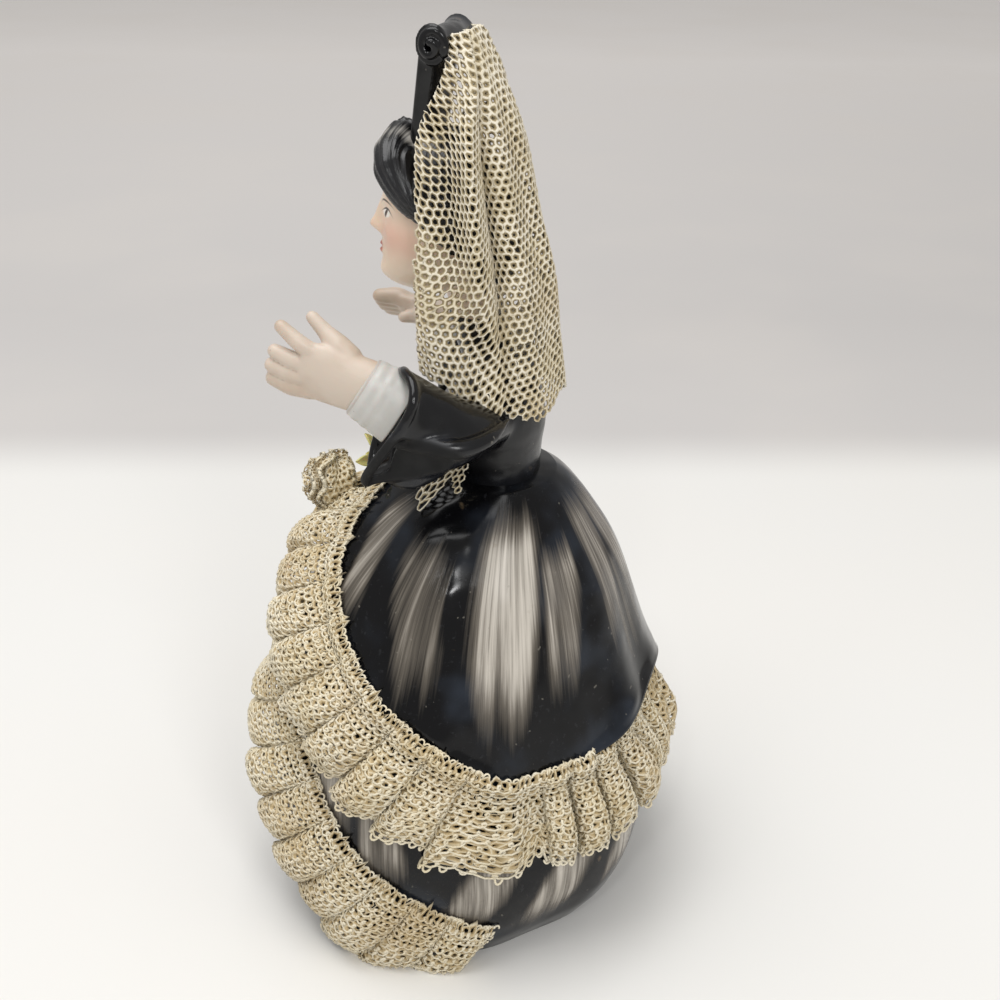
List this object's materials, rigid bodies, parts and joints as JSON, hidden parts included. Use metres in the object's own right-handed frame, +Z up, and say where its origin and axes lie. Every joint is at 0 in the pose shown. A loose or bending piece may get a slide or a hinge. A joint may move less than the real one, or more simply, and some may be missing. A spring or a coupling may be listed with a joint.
{
  "type": "dresden lace figurine",
  "caption": "Porcelain lady in a wide flounced dress with raised arms, a tall comb and a lace mantilla, standing on the flat underside of her skirt.",
  "frame": {"origin": "centre of the flat underside of the skirt", "axes": "+Z up, the lady faces -Y, her left is +X"},
  "size_m": [0.1, 0.0978, 0.1994],
  "materials": {
    "black_glaze": "gloss black glaze with dry-brushed grey strokes",
    "skin_glaze": "satin flesh glaze",
    "white_glaze": "satin white glaze with specks",
    "lace": "matt cream lace dipped in slip",
    "leaf_glaze": "satin yellow-green glaze"
  },
  "bodies": {
    "root": {"figure": "black_glaze", "veil": "lace", "overskirt_ruffle": "lace", "front_ruffle_left": "lace", "front_ruffle_right": "lace", "lace_bunch": "lace", "waist_trim": "lace", "corsage": "leaf_glaze"}
  },
  "joints": []
}
